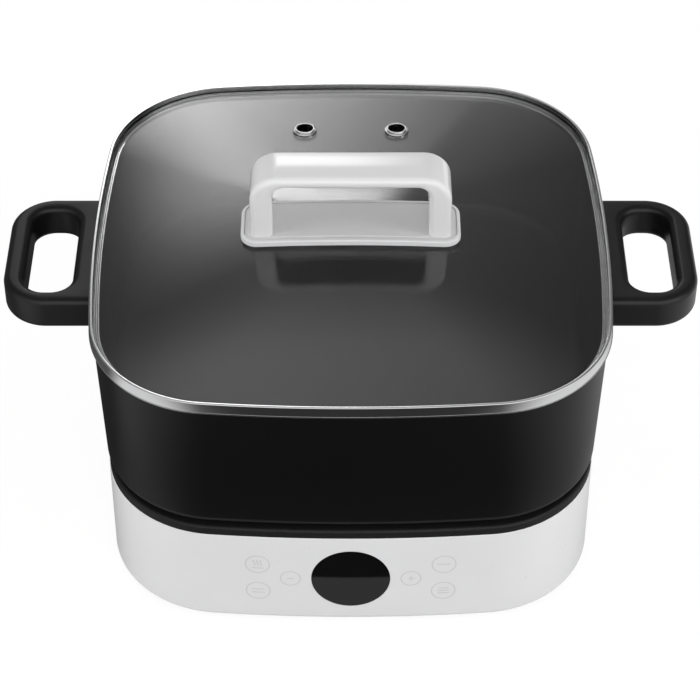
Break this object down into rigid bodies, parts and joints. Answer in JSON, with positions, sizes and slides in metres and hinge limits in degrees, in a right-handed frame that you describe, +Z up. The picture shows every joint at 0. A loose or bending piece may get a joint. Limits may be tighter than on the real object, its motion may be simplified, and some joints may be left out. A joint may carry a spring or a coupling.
{
  "type": "electric hot pot with lid",
  "caption": "Electric hot pot: rounded-square cast pot with two loop handles on a white touch-panel heating base, under a loose domed glass lid with a steel rim and bridge handle.",
  "frame": {"origin": "centre of the footprint, on the surface that the feet stand on", "axes": "+Z up, front with the round display facing -Y, side handles along X"},
  "size_m": [0.3934, 0.2944, 0.221],
  "materials": {
    "white_plastic": "satin moulded",
    "black_plastic": "fine textured",
    "black_gloss": "polished",
    "grey_plastic": "satin moulded",
    "grey_silicone": "matt silicone",
    "black_rubber": "matt",
    "red_silicone": "matt silicone",
    "coated_aluminium": "dark non-stick coating",
    "bare_aluminium": "as cast",
    "anodised_aluminium": "black anodised",
    "steel": "bright",
    "zinc_steel": "zinc plated",
    "tempered_glass": "clear tempered",
    "brass": "machined",
    "board": "solder mask",
    "component_black": "moulded",
    "component_blue": "moulded",
    "component_green": "moulded",
    "steatite": "unglazed",
    "sleeve_white": "glass-fibre sleeve"
  },
  "bodies": {
    "base": {"base_housing": "white_plastic", "bottom_cover": "black_plastic", "foot_front_left": "black_rubber", "foot_front_right": "black_rubber", "foot_back_left": "black_rubber", "foot_back_right": "black_rubber", "deck": "black_plastic", "deck_seal": "red_silicone", "heating_plate": "bare_aluminium", "heating_element": "steel", "heat_shield": "zinc_steel", "plate_spacers": "steatite", "sensor_guide": "zinc_steel", "sensor_spring": "steel", "thermal_cutout": "component_black", "thermal_fuse": "sleeve_white", "fuse_clip": "zinc_steel", "power_board": "board", "relay": "component_blue", "transformer": "component_black", "capacitors": "component_black", "heat_sink": "anodised_aluminium", "power_switch": "component_black", "terminal_block": "component_green", "control_board": "board", "display_module": "component_black", "display_window": "black_gloss", "touch_contacts": "steel", "buzzer": "component_black", "power_inlet": "black_plastic", "inlet_pins": "brass", "cover_screws": "zinc_steel", "deck_screws": "zinc_steel", "shield_screws": "zinc_steel", "plate_screws": "zinc_steel", "plate_fixings": "zinc_steel", "board_screws": "zinc_steel", "control_screws": "zinc_steel", "inlet_screws": "zinc_steel"},
    "sensor": {"sensor_cap": "bare_aluminium", "sensor_clip": "steel"},
    "pot": {"pot_body": "coated_aluminium", "pot_handle_left": "black_plastic", "pot_handle_right": "black_plastic", "pot_handle_screws_left": "steel", "pot_handle_screws_right": "steel"},
    "lid": {"lid_glass": "tempered_glass", "lid_rim": "steel", "steam_vent_left": "steel", "steam_vent_right": "steel", "handle_gasket": "grey_silicone", "handle_seat": "grey_plastic", "lid_handle": "white_plastic", "handle_inserts": "brass", "seal_washers": "grey_silicone", "handle_washers": "steel", "handle_screws": "steel"}
  },
  "joints": [
    {"name": "sensor_press", "type": "slide", "parent": "base", "child": "sensor", "axis": [0, 0, 1], "range_m": [-0.0025, 0], "stiffness_N_per_m": 400, "springref_m": 0.002, "deforming": ["sensor_spring"]},
    {"name": "pot_lift", "type": "slide", "parent": "base", "child": "pot", "axis": [0, 0, 1], "range_m": [0, 0.15]},
    {"name": "lid_lift", "type": "slide", "parent": "pot", "child": "lid", "axis": [0, 0, 1], "range_m": [0, 0.15]}
  ]
}
